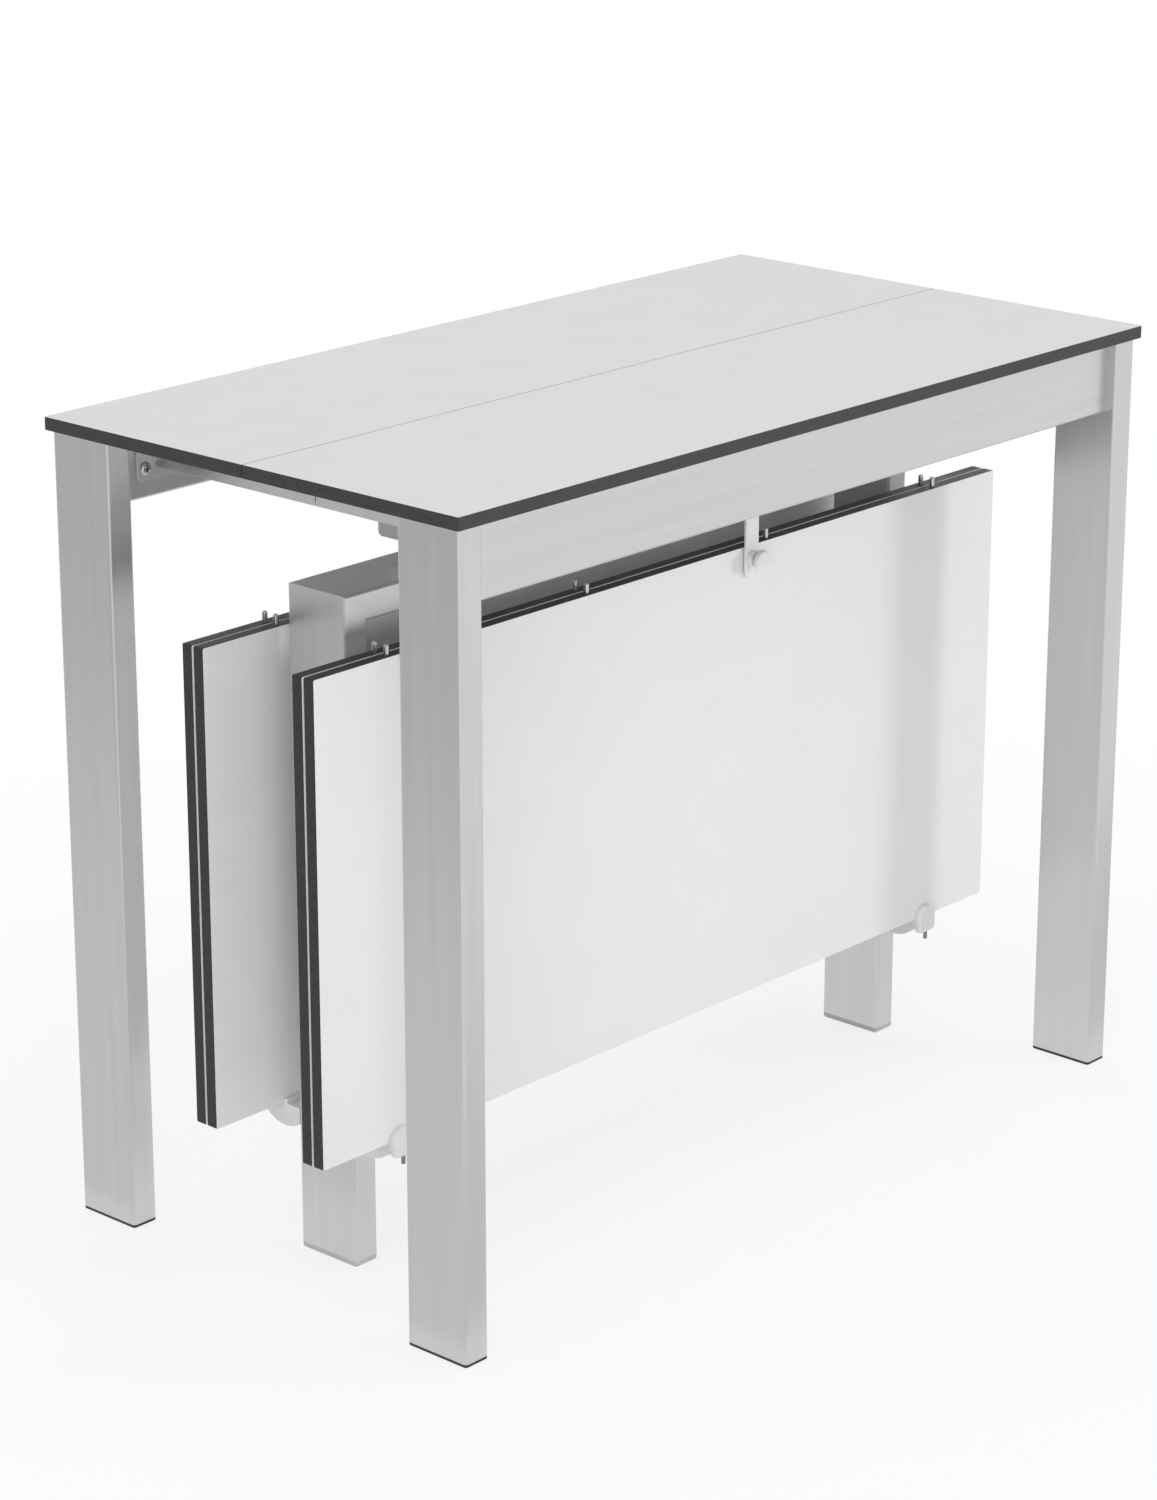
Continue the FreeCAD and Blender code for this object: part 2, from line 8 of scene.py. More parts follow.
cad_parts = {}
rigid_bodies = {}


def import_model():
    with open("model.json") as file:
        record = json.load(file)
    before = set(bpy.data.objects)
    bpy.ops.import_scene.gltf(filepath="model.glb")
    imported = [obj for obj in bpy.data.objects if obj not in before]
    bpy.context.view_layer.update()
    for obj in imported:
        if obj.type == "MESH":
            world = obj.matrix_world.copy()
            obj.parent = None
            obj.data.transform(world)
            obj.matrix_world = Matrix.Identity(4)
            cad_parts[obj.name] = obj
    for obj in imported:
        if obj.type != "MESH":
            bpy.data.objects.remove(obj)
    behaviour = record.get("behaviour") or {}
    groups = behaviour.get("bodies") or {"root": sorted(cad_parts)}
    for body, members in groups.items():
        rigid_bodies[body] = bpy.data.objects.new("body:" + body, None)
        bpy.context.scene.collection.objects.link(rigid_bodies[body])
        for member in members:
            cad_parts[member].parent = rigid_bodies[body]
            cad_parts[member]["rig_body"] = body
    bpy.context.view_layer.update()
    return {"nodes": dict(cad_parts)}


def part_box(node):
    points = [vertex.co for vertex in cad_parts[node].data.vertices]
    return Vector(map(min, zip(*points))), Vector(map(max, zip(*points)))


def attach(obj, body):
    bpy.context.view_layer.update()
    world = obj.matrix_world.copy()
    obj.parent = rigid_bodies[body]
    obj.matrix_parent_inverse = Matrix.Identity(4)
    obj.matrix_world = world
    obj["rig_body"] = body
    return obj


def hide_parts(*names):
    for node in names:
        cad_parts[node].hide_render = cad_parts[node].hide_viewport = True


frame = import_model()

mm = 0.001                                # pieces are modelled in millimetres and scaled when they are done
touch = 0.01                              # places nearer than this are one place
merge = 0.002                             # vertices nearer than this become one
straight = 0.999                          # a run or normal with this share along an axis lies that way
flatAngle = math.radians(1)               # triangles that turn less than this are one flat face
sharpAngle = math.radians(30)             # edges that turn more than this are drawn sharp
roundAngle = math.radians(40)             # edges that turn more than this are rounded
upward = Vector((0, 0, 1))
halfSides = {"front": -1, "rear": 1}      # which way each half lies along Y
endNames = ("left", "right")
leafPlaces = ("inner", "outer")
railStages = (1, 2, 3)


# What the frame says.

def nodeBox(node):
    low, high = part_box(node)
    return low / mm, high / mm


def bodyOf(node):
    return frame["nodes"][node]["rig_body"]


# Mesh work that every piece shares.

def addBlock(form, low, high):
    made = bmesh.ops.create_cube(form, size=1)["verts"]
    bmesh.ops.scale(form, vec=high - low, verts=made)
    bmesh.ops.translate(form, vec=(low + high) / 2, verts=made)


def addRod(form, foot, tip, radius, sides):
    along = tip - foot
    place = Matrix.Translation((foot + tip) / 2) @ along.to_track_quat("Z", "Y").to_matrix().to_4x4()
    bmesh.ops.create_cone(form, cap_ends=True, segments=sides, radius1=radius, radius2=radius,
                          depth=along.length, matrix=place)


def mergeVertices(form):
    bmesh.ops.remove_doubles(form, verts=form.verts, dist=merge)


def roundEdges(form, edges, radius, segments):
    bmesh.ops.bevel(form, geom=edges, offset=radius, offset_type="OFFSET", segments=segments,
                    profile=0.5, affect="EDGES", material=-1, clamp_overlap=True)


def outerEdges(form):
    # edges that stick out and turn enough to be rounded
    form.normal_update()
    return [e for e in form.edges
            if len(e.link_faces) == 2 and e.is_convex and e.calc_face_angle(0) > roundAngle]


def rimEdges(form, onRim):
    # outer edges with both ends where onRim says
    return [e for e in outerEdges(form) if all(onRim(v.co) for v in e.verts)]


def edgesAlong(form, axis):
    found = []
    for edge in form.edges:
        run = edge.verts[1].co - edge.verts[0].co
        if abs(run[axis]) > straight * run.length:
            found.append(edge)
    return found


def carve(form, tool):
    # takes one closed shape out of another and gives back what is left
    shapes = []
    for source in (form, tool):
        mesh = bpy.data.meshes.new("shape")
        source.to_mesh(mesh)
        source.free()
        shape = bpy.data.objects.new("shape", mesh)
        bpy.context.scene.collection.objects.link(shape)
        shapes.append(shape)
    cut = shapes[0].modifiers.new("cut", "BOOLEAN")
    cut.operation = "DIFFERENCE"
    cut.solver = "EXACT"
    cut.object = shapes[1]
    carved = bmesh.new()
    carved.from_object(shapes[0], bpy.context.evaluated_depsgraph_get())
    for shape in shapes:
        mesh = shape.data
        bpy.data.objects.remove(shape)
        bpy.data.meshes.remove(mesh)
    return carved


def nodeForm(node):
    # a copy of a frame node: merged, and with its flat triangles joined to whole faces
    form = bmesh.new()
    form.from_mesh(frame["nodes"][node].data)
    bmesh.ops.transform(form, matrix=Matrix.Scale(1 / mm, 4), verts=form.verts)
    mergeVertices(form)
    bmesh.ops.dissolve_limit(form, angle_limit=flatAngle, verts=form.verts, edges=form.edges)
    return form


def joinForm(form, other):
    mesh = bpy.data.meshes.new("part")
    other.to_mesh(mesh)
    other.free()
    form.from_mesh(mesh)
    bpy.data.meshes.remove(mesh)


def prism(points, depth):
    # a closed outline of points, extruded
    form = bmesh.new()
    face = form.faces.new([form.verts.new(p) for p in points])
    far = bmesh.ops.extrude_face_region(form, geom=[face])["geom"]
    bmesh.ops.translate(form, vec=depth, verts=[g for g in far if isinstance(g, bmesh.types.BMVert)])
    bmesh.ops.recalc_face_normals(form, faces=form.faces)
    return form


def finishPiece(name, form, materials, standsFor=(), body=None):
    bmesh.ops.transform(form, matrix=Matrix.Scale(mm, 4), verts=form.verts)
    bmesh.ops.recalc_face_normals(form, faces=form.faces)
    mesh = bpy.data.meshes.new(name)
    form.to_mesh(mesh)
    form.free()
    mesh.shade_smooth()
    mesh.set_sharp_from_angle(angle=sharpAngle)
    for material in materials:
        mesh.materials.append(material)
    piece = bpy.data.objects.new(name, mesh)
    bpy.context.scene.collection.objects.link(piece)
    shading = piece.modifiers.new("evenShading", "WEIGHTED_NORMAL")   # flat faces stay flat by round edges
    shading.keep_sharp = True
    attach(piece, body or bodyOf(standsFor[0]))
    if standsFor:
        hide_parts(*standsFor)


# Material work.

noiseRange = (0.3, 0.7)                   # most of a noise lies between these


def linear(hexColour):
    # an sRGB hex value as the linear colour that sockets take
    channels = [int(hexColour[i:i + 2], 16) / 255 for i in (1, 3, 5)]
    return [c / 12.92 if c <= 0.04045 else ((c + 0.055) / 1.055) ** 2.4 for c in channels] + [1]


def addNode(tree, kind, settings=None, links=None):
    # a setting that is named as one of the node's sockets goes to that socket, any other to the node itself
    node = tree.nodes.new(kind)
    for name, value in (settings or {}).items():
        if isinstance(name, int) or name in node.inputs:
            node.inputs[name].default_value = value
        else:
            setattr(node, name, value)
    for socket, source in (links or {}).items():
        tree.links.new(source, node.inputs[socket])
    return node


def emptyTree(owner):
    owner.use_nodes = True
    owner.node_tree.nodes.clear()
    return owner.node_tree


def startMaterial(name, settings):
    material = bpy.data.materials.new(name)
    tree = emptyTree(material)
    shader = addNode(tree, "ShaderNodeBsdfPrincipled", settings)
    addNode(tree, "ShaderNodeOutputMaterial", links={"Surface": shader.outputs["BSDF"]})
    place = addNode(tree, "ShaderNodeTexCoord").outputs["Object"]
    return material, tree, shader, place


def addGrain(tree, place, spacing, detail=2.0):
    # noise whose marks are as wide as spacing says along X, Y and Z, in millimetres
    stretch = [1 / (width * mm) for width in spacing]
    mapped = addNode(tree, "ShaderNodeMapping", {"Scale": stretch}, {"Vector": place})
    noise = addNode(tree, "ShaderNodeTexNoise", {"Scale": 1.0, "Detail": detail, "Roughness": 0.55},
                    {"Vector": mapped.outputs["Vector"]})
    return noise.outputs["Fac"]


def spacingBy(axis, along, across):
    spacing = [across] * 3
    spacing[axis] = along
    return spacing


def addTexture(tree, shader, look, tone, sheen, relief):
    # three patterns on one shader: tone drives the colour, sheen the roughness and relief the height
    low, high = noiseRange
    shade = addNode(tree, "ShaderNodeMapRange", {"From Min": low, "From Max": high}, {"Value": tone})
    ends = {"data_type": "RGBA", 6: linear(look["dark"]), 7: linear(look["light"])}
    colour = addNode(tree, "ShaderNodeMix", ends, {0: shade.outputs["Result"]})
    rough = addNode(tree, "ShaderNodeMapRange",
                    {"From Min": low, "From Max": high, "To Min": look["roughness"] - look["mottle"],
                     "To Max": look["roughness"] + look["mottle"]}, {"Value": sheen})
    bump = addNode(tree, "ShaderNodeBump", {"Strength": look["bump"], "Distance": look["depth"] * mm},
                   {"Height": relief})
    tree.links.new(colour.outputs[2], shader.inputs["Base Color"])
    tree.links.new(rough.outputs["Result"], shader.inputs["Roughness"])
    tree.links.new(bump.outputs["Normal"], shader.inputs["Normal"])


def compactLaminate(name, look):
    # melamine decor pressed on a compact board: an even colour with a soft, very fine pearl texture
    material, tree, shader, place = startMaterial(name, {"Specular IOR Level": look["specular"]})
    cloud = addGrain(tree, place, [look["cloud"]] * 3)
    pearl = addGrain(tree, place, [look["pearl"]] * 3)       # 0.3 mm on the board, drawn coarser to show
    addTexture(tree, shader, look, cloud, pearl, pearl)
    return material


def phenolicCore(name, look, axis):
    # the board's core: kraft papers pressed with phenolic resin, sawn and eased, so thin dark layers show
    material, tree, shader, place = startMaterial(name, {"Specular IOR Level": look["specular"]})
    layers = addGrain(tree, place, spacingBy(axis, look["layer"], look["run"]), detail=3.0)
    saw = addGrain(tree, place, [look["saw"]] * 3, detail=1.0)
    both = addNode(tree, "ShaderNodeMath", {"operation": "MULTIPLY_ADD", 1: look["sawShare"]},
                   {0: saw, 2: layers}).outputs[0]
    tone = addNode(tree, "ShaderNodeMath", {"operation": "MULTIPLY", 1: look["evenOut"]},
                   {0: both}).outputs[0]
    addTexture(tree, shader, look, tone, layers, layers)
    return material


def brushedSteel(name, look, axis):
    # stainless tube, belt-ground along its length: long fine lines that stretch every reflection across them
    material, tree, shader, place = startMaterial(name, {"Metallic": 1.0,
                                                         "Anisotropic": look["anisotropic"]})
    lines = addGrain(tree, place, spacingBy(axis, look["run"], look["line"]), detail=3.0)
    bands = addGrain(tree, place, spacingBy(axis, look["bandRun"], look["band"]), detail=1.0)
    addTexture(tree, shader, look, bands, lines, lines)
    around = addNode(tree, "ShaderNodeTangent", {"direction_type": "RADIAL", "axis": "XYZ"[axis]})
    tree.links.new(around.outputs["Tangent"], shader.inputs["Tangent"])
    return material


def drawnMetal(name, look, axis):
    # extruded or drawn metal: faint lines from the die and a dull, slightly cloudy shine
    material, tree, shader, place = startMaterial(name, {"Metallic": 1.0})
    lines = addGrain(tree, place, spacingBy(axis, look["run"], look["line"]))
    cloud = addGrain(tree, place, [look["cloud"]] * 3)
    addTexture(tree, shader, look, cloud, lines, lines)
    return material


def mouldedPlastic(name, look):
    # injection-moulded plastic: spark-eroded mould texture, and a slightly uneven sheen where it cooled
    material, tree, shader, place = startMaterial(name, {"Subsurface Weight": look["soft"],
                                                         "Subsurface Radius": (1.0, 1.0, 1.0),
                                                         "Subsurface Scale": look["scatter"] * mm})
    cloud = addGrain(tree, place, [look["cloud"]] * 3)
    grit = addGrain(tree, place, [look["grit"]] * 3)         # 0.2 mm on the mould, drawn coarser to show
    addTexture(tree, shader, look, cloud, cloud, grit)
    return material


# Sizes of marks and depths are in millimetres; mottle is how far the roughness swings to either side.
laminate = dict(pearl=1.4, mottle=0.05, depth=0.015, bump=0.35)
topLook = dict(laminate, dark="#DADADA", light="#DCDCDC", specular=0.2, cloud=60, roughness=0.48)
leafLook = dict(laminate, dark="#E6E6E6", light="#E8E8E8", specular=0.4, cloud=70, roughness=0.40)

# The core's sheets are 0.25 mm thick, drawn in groups to show.
# sawShare adds a second noise to them, and evenOut brings the sum back to the range of one.
core = dict(layer=1.1, run=40, saw=3, sawShare=0.8, evenOut=0.555, specular=0.5, roughness=0.5, mottle=0.08,
            depth=0.03, bump=0.2)
topCoreLook = dict(core, dark="#202022", light="#3C3C3E")
# the leaves' core is the same as the top's, drawn darker as painted shade for leaf edges under the top
shadedLeafCoreLook = dict(core, dark="#161618", light="#2C2C2E")

# The belt's lines are 0.1 mm wide, drawn coarser to show.
steelLook = dict(dark="#CECECE", light="#D2D2D2", anisotropic=0.45, line=0.9, run=90, band=9, bandRun=260,
                 roughness=0.34, mottle=0.025, depth=0.02, bump=0.12)

drawn = dict(mottle=0.04, depth=0.012, bump=0.12)
railLook = dict(drawn, dark="#D0D1D3", light="#DADBDD", line=0.8, run=120, cloud=50, roughness=0.38)
plateLook = dict(drawn, dark="#D2D3D5", light="#D9DADC", line=1.2, run=60, cloud=60, roughness=0.46)
# dark plain steel of the rest pins; the same colour is painted shade in screw recesses and the knob's gap
pinSteelAndShadeLook = dict(drawn, dark="#808284", light="#8E9092", line=0.8, run=6, cloud=12, roughness=0.36)
boltLook = dict(drawn, dark="#C2C4C6", light="#D2D4D6", line=0.8, run=6, cloud=12, roughness=0.26)

moulded = dict(soft=0.0, scatter=2, mottle=0.05, depth=0.02, bump=0.2)
blackLook = dict(moulded, dark="#1C1C1D", light="#262627", cloud=25, grit=0.7, roughness=0.48)
greyLook = dict(moulded, dark="#B9B9B9", light="#C1C1C1", cloud=25, grit=0.7, roughness=0.45)
nylonLook = dict(moulded, dark="#E0E0DF", light="#E6E6E5", soft=0.25, cloud=20, grit=0.8, roughness=0.38)

# The number is the axis that the core's layers stack along, or that the metal was ground or drawn along.
lightGreyLaminate = compactLaminate("lightGreyCompactLaminate", topLook)
whiteLaminate = compactLaminate("whiteCompactLaminate", leafLook)
topCore = phenolicCore("blackPhenolicCoreFlat", topCoreLook, 2)
# the leaves' core, darker by painted shade
shadedLeafCore = phenolicCore("blackPhenolicCorePaintedShadeUpright", shadedLeafCoreLook, 1)
uprightSteel = brushedSteel("brushedStainlessUpright", steelLook, 2)
levelSteel = brushedSteel("brushedStainlessLevel", steelLook, 0)
extrudedAluminium = drawnMetal("extrudedAluminium", railLook, 1)
zincSteel = drawnMetal("zincPlatedSteel", boltLook, 0)
plateSteel = drawnMetal("dullZincPlate", plateLook, 0)
# the rest pins' steel, also painted shade in screw recesses and round the knob's stem
pinSteelAndPaintedShade = drawnMetal("darkPinSteelAndPaintedShade", pinSteelAndShadeLook, 2)
blackPlastic = mouldedPlastic("blackMouldedPlastic", blackLook)
greyPlastic = mouldedPlastic("silverGreyMouldedPlastic", greyLook)
whiteNylon = mouldedPlastic("whiteMouldedNylon", nylonLook)
print("materials:", len(bpy.data.materials))


# Boards: the two halves of the top and the four stored leaves.

# topDecor and leafDecor say how squarely a face has to look out to carry the decor.
board = dict(corner=1.6, cornerSteps=4, arris=0.5, arrisSteps=2, seamArris=0.25,
             topDecor=0.6, leafDecor=0.75)
hole = dict(sides=32, dowelFit=0.05, dowelDepth=16, socketRadius=2.75, socketDepth=12,
            past=5)                       # how far a drill runs out of the board
dowel = dict(radius=2.5, nose=2.0, noseSteps=4, sides=32)


def boardRims(form, axis):
    # edges round the two broad sides of a board
    return [e for e in outerEdges(form) if any(abs(f.normal[axis]) > straight for f in e.link_faces)]


def roundBoard(low, high, axis, seam=math.inf):
    # a board with round corners and eased edges, whose thickness lies along axis
    # the side at Y = seam, where the halves of the top meet, keeps its corners and is eased less
    clear = board["seamArris"] + touch
    form = bmesh.new()
    addBlock(form, low, high)
    corners = [e for e in edgesAlong(form, axis) if abs(e.verts[0].co.y - seam) > clear]
    roundEdges(form, corners, board["corner"], board["cornerSteps"])
    meeting = [e for e in boardRims(form, axis) if all(abs(v.co.y - seam) < touch for v in e.verts)]
    roundEdges(form, meeting, board["seamArris"], 1)
    rims = [e for e in boardRims(form, axis)
            if all(abs(v.co.y - seam) > clear or abs(v.co.x) > high.x - touch for v in e.verts)]
    roundEdges(form, rims, board["arris"], board["arrisSteps"])
    return form


def layMaterials(form, axis, low, high, least):
    # faces beside the two outer planes, turned to them by more than least, carry the decor; the rest is core
    form.normal_update()
    for face in form.faces:
        middle = face.calc_center_median()[axis]
        onDecor = min(abs(middle - low[axis]), abs(middle - high[axis])) < board["arris"]
        face.material_index = 0 if onDecor and abs(face.normal[axis]) > least else 1


def dowelPlaces(node):
    # X of a leaf's four dowels, found from the corners of their node
    reach = [abs(v.co.x / mm) for v in frame["nodes"][node].data.vertices]
    inner = min(reach) + dowel["radius"]
    outer = max(reach) - dowel["radius"]
    return [-outer, -inner, inner, outer]


for half in halfSides:
    node = half + "_panel"
    low, high = nodeBox(node)
    form = roundBoard(low, high, 2, min(low.y, high.y, key=abs))
    layMaterials(form, 2, low, high, board["topDecor"])
    finishPiece(node + "_board", form, [lightGreyLaminate, topCore], [node])

for half in halfSides:
    for place in leafPlaces:
        node = f"{half}_{place}_leaf"
        dowelNode = f"{half}_{place}_dowels"
        dowelXs = dowelPlaces(dowelNode)
        low, high = nodeBox(node)
        middle = (low.y + high.y) / 2
        form = roundBoard(low, high, 1)
        drill = bmesh.new()
        for x in dowelXs:
            top = Vector((x, middle, high.z))
            addRod(drill, top - hole["dowelDepth"] * upward, top + hole["past"] * upward,
                   dowel["radius"] + hole["dowelFit"], hole["sides"])
            bottom = Vector((x, middle, low.z))
            addRod(drill, bottom - hole["past"] * upward, bottom + hole["socketDepth"] * upward,
                   hole["socketRadius"], hole["sides"])
        form = carve(form, drill)
        layMaterials(form, 1, low, high, board["leafDecor"])
        finishPiece(node + "_board", form, [whiteLaminate, shadedLeafCore], [node])

        pinLow, pinHigh = nodeBox(dowelNode)
        form = bmesh.new()
        for x in dowelXs:
            addRod(form, Vector((x, middle, pinLow.z)), Vector((x, middle, pinHigh.z)), dowel["radius"],
                   dowel["sides"])
        noses = rimEdges(form, lambda point: point.z > pinHigh.z - touch)
        roundEdges(form, noses, dowel["nose"], dowel["noseSteps"])
        finishPiece(dowelNode + "_round", form, [zincSteel], [dowelNode])
print("boards and dowels done")


# Plates and angles: the frame's own shape with its cut edges eased.

plateEdge = dict(radius=0.4, steps=2, boreFacet=2.2)


def easePlate(node, metal, shortest=0):
    # edges no longer than shortest stay as they are
    form = nodeForm(node)
    edges = [e for e in outerEdges(form) if e.calc_length() > shortest]
    roundEdges(form, edges, plateEdge["radius"], plateEdge["steps"])
    finishPiece(node + "_eased", form, [metal], [node])


for half in halfSides:
    easePlate(half + "_rail_covers", extrudedAluminium)
    easePlate(half + "_rail_brackets", plateSteel)
for end in endNames:
    easePlate(end + "_hanger", plateSteel)
print("plates done")


# Plastic feet and caps.

foot = dict(round=0.8, steps=3)
centreFoot = dict(corner=3, cornerSteps=5, round=4.5, roundSteps=6)
beamCap = dict(round=1.0, steps=3)


def atFloor(point):
    return point.z < touch


for half in halfSides:
    node = half + "_feet"
    form = nodeForm(node)
    roundEdges(form, rimEdges(form, atFloor), foot["round"], foot["steps"])
    finishPiece(node + "_caps", form, [blackPlastic], [node])

legLow, legHigh = nodeBox("right_centre_leg")
form = bmesh.new()
for side in (-1, 1):
    near = Vector((side * legLow.x, legLow.y, 0))
    far = Vector((side * legHigh.x, legHigh.y, legLow.z))
    addBlock(form, Vector(map(min, near, far)), Vector(map(max, near, far)))
roundEdges(form, edgesAlong(form, 2), centreFoot["corner"], centreFoot["cornerSteps"])
roundEdges(form, rimEdges(form, atFloor), centreFoot["round"], centreFoot["roundSteps"])
mergeVertices(form)                       # the round is wider than the corner and draws it to one point
finishPiece("centre_feet_caps", form, [greyPlastic], ["centre_feet"])

form = nodeForm("beam_caps")
capEnd = nodeBox("beam_caps")[1].x
rims = rimEdges(form, lambda point: abs(point.x) > capEnd - touch)
roundEdges(form, rims, beamCap["round"], beamCap["steps"])
finishPiece("beam_caps_round", form, [greyPlastic], ["beam_caps"])
print("feet and caps done")


# Rests with their pins.

rest = dict(bowlLeg=16, bowlMiddle=21.5, bowlLip=7, bowlSteps=20, lip=6, lipRise=13, lipDrop=15, lipCorner=5,
            domeSteps=28, ridge=4, ridgeRoot=1, ridgeRise=4, finRise=10, back=4, backWidth=16, backRise=26,
            gap=0.3, round=0.7, blockRound=0.35, steps=3, lipRound=2.4, lipSteps=6, cornerSteps=8)
restPin = dict(radius=2.0, round=0.6, steps=3, sides=28)


def arcThrough(first, middle, last, steps):
    # points of the circle through three points of a plane, both ends included
    ax, ay = middle - first
    bx, by = last - first
    a2, b2 = ax * ax + ay * ay, bx * bx + by * by
    scale = 2 * (ax * by - ay * bx)
    centre = first + Vector(((by * a2 - ay * b2) / scale, (ax * b2 - bx * a2) / scale))
    start, end = first - centre, last - centre
    sweep = math.atan2(start.x * end.y - start.y * end.x, start.dot(end))
    points = []
    for index in range(steps + 1):
        turn = sweep * index / steps
        points.append(centre + Vector((start.x * math.cos(turn) - start.y * math.sin(turn),
                                       start.x * math.sin(turn) + start.y * math.cos(turn))))
    return points


def restTray(xLow, width, legFace, lipIn, leafLow, side):
    # bowl with a round underside, from the leg to the lip
    reach = lipIn - legFace
    line = arcThrough(Vector((0, -rest["bowlLeg"])), Vector((reach / 2, -rest["bowlMiddle"])),
                      Vector((reach, -rest["bowlLip"])), rest["bowlSteps"])
    line += [Vector((reach, 0)), Vector((0, 0))]
    form = prism([(xLow, side * (legFace + out), leafLow + rise) for out, rise in line],
                 Vector((width, 0, 0)))
    roundEdges(form, outerEdges(form), rest["round"], rest["steps"])
    return form


def restLip(middleX, radius, lipIn, leafLow, side):
    # tongue with a dome above and round corners below, soft all round its face
    shoulder = leafLow + rest["lipRise"] - radius
    low = leafLow - rest["lipDrop"]
    corner = rest["lipCorner"]
    line = []
    for index in range(rest["domeSteps"] + 1):
        turn = math.pi * index / rest["domeSteps"]
        line.append((radius * math.cos(turn), shoulder + radius * math.sin(turn)))
    for way, first in ((-1, math.pi), (1, 1.5 * math.pi)):
        for index in range(rest["cornerSteps"] + 1):
            turn = first + math.pi / 2 * index / rest["cornerSteps"]
            line.append((way * (radius - corner) + corner * math.cos(turn),
                         low + corner + corner * math.sin(turn)))
    form = prism([(middleX + across, side * lipIn, height) for across, height in line],
                 Vector((0, side * rest["lip"], 0)))
    front = rimEdges(form, lambda point: abs(point.y) > lipIn + rest["lip"] - touch)
    roundEdges(form, front, rest["lipRound"], rest["lipSteps"])
    return form


centreLegFace = legHigh.y
for half, side in halfSides.items():
    leafBoxes = [nodeBox(f"{half}_{place}_leaf") for place in leafPlaces]
    leafLow = leafBoxes[0][0].z
    innerNear, innerFar, outerNear, outerFar = sorted(abs(corner.y) for box in leafBoxes for corner in box)
    ridgeFar = innerNear - rest["gap"]
    lipIn = outerFar + rest["gap"]
    for end in endNames:
        node = f"{half}_{end}_rest"
        low, high = nodeBox(node)
        width = high.x - low.x
        middle = (low.x + high.x) / 2
        form = restTray(low.x, width, centreLegFace, lipIn, leafLow, side)
        joinForm(form, restLip(middle, width / 2, lipIn, leafLow, side))
        blocks = [(ridgeFar - rest["ridge"], ridgeFar, width, rest["ridgeRise"]),
                  (innerFar + rest["gap"], outerNear - rest["gap"], width, rest["finRise"]),
                  (centreLegFace, centreLegFace + rest["back"], rest["backWidth"], rest["backRise"])]
        for near, far, across, rise in blocks:
            block = bmesh.new()
            lowY, highY = sorted((side * near, side * far))
            addBlock(block, Vector((middle - across / 2, lowY, leafLow - rest["ridgeRoot"])),
                     Vector((middle + across / 2, highY, leafLow + rise)))
            roundEdges(block, outerEdges(block), rest["blockRound"], rest["steps"])
            joinForm(form, block)
        finishPiece(node + "_moulding", form, [whiteNylon], [node])

low, high = nodeBox("rest_pins")
form = bmesh.new()
for sideX in (-1, 1):
    for sideY in (-1, 1):
        x = sideX * (high.x - restPin["radius"])
        y = sideY * (high.y - restPin["radius"])
        addRod(form, Vector((x, y, low.z)), Vector((x, y, high.z)), restPin["radius"], restPin["sides"])
roundEdges(form, outerEdges(form), restPin["round"], restPin["steps"])
finishPiece("rest_pins_round", form, [pinSteelAndPaintedShade], ["rest_pins"])
print("rests done")


# Clips.

clip = dict(round=0.6, steps=3, knuckle=4.5, knuckleSlack=0.1, stemHole=3.2)
knob = dict(padRadius=5, stemRadius=3, height=7, padWall=1.4, round=2.8, roundSteps=7, rimSlack=0.1,
            sides=64)


def offBores(edge, hinge, stem):
    # the knuckle at the hinge's (y, z) and the hole at the stem's (x, z) keep their machined edges
    for point in (vert.co for vert in edge.verts):
        toHinge = math.hypot(point.y - hinge[0], point.z - hinge[1])
        toStem = math.hypot(point.x - stem[0], point.z - stem[1])
        if toHinge < clip["knuckle"] + clip["knuckleSlack"] or toStem < clip["stemHole"]:
            return False
    return True


for half, side in halfSides.items():
    node = half + "_clip"
    knobLow, knobHigh = nodeBox(node + "_knob")
    axisX = (knobLow.x + knobHigh.x) / 2
    axisZ = (knobLow.z + knobHigh.z) / 2
    low, high = nodeBox(node)
    hinge = (min(low.y, high.y, key=abs) + side * clip["knuckle"], high.z - clip["knuckle"])
    form = nodeForm(node)
    edges = [e for e in outerEdges(form) if offBores(e, hinge, (axisX, axisZ))]
    roundEdges(form, edges, clip["round"], clip["steps"])
    finishPiece(node + "_strap", form, [whiteNylon], [node])

    padFoot, tip = sorted((knobLow.y, knobHigh.y), key=abs)
    padTop = padFoot + side * knob["padWall"]
    neck = tip - side * knob["height"]
    radius = (knobHigh.x - knobLow.x) / 2
    outline = [(padFoot, 0), (padFoot, knob["padRadius"]),
               (padTop, knob["padRadius"]), (padTop, knob["stemRadius"]),
               (neck, knob["stemRadius"]), (neck, radius), (tip, radius), (tip, 0)]
    form = bmesh.new()
    line = [form.verts.new((axisX, y, axisZ + out)) for y, out in outline]
    edges = [form.edges.new(pair) for pair in zip(line, line[1:])]
    bmesh.ops.spin(form, geom=line + edges, cent=(axisX, 0, axisZ), axis=(0, 1, 0), angle=2 * math.pi,
                   steps=knob["sides"], use_merge=True)
    mergeVertices(form)
    bmesh.ops.recalc_face_normals(form, faces=form.faces)
    rimFrom = radius - knob["rimSlack"]
    rims = rimEdges(form, lambda point: math.hypot(point.x - axisX, point.z - axisZ) > rimFrom)
    roundEdges(form, rims, knob["round"], knob["roundSteps"])
    # the stem takes the dark steel: a steel stem, and painted shade in the gap between the pad and the knob
    for face in form.faces:
        middle = face.calc_center_median()
        onStem = math.hypot(middle.x - axisX, middle.z - axisZ) < knob["stemRadius"] + touch
        face.material_index = int(onStem)
    finishPiece(node + "_knob_turned", form, [whiteNylon, pinSteelAndPaintedShade], [node + "_knob"])

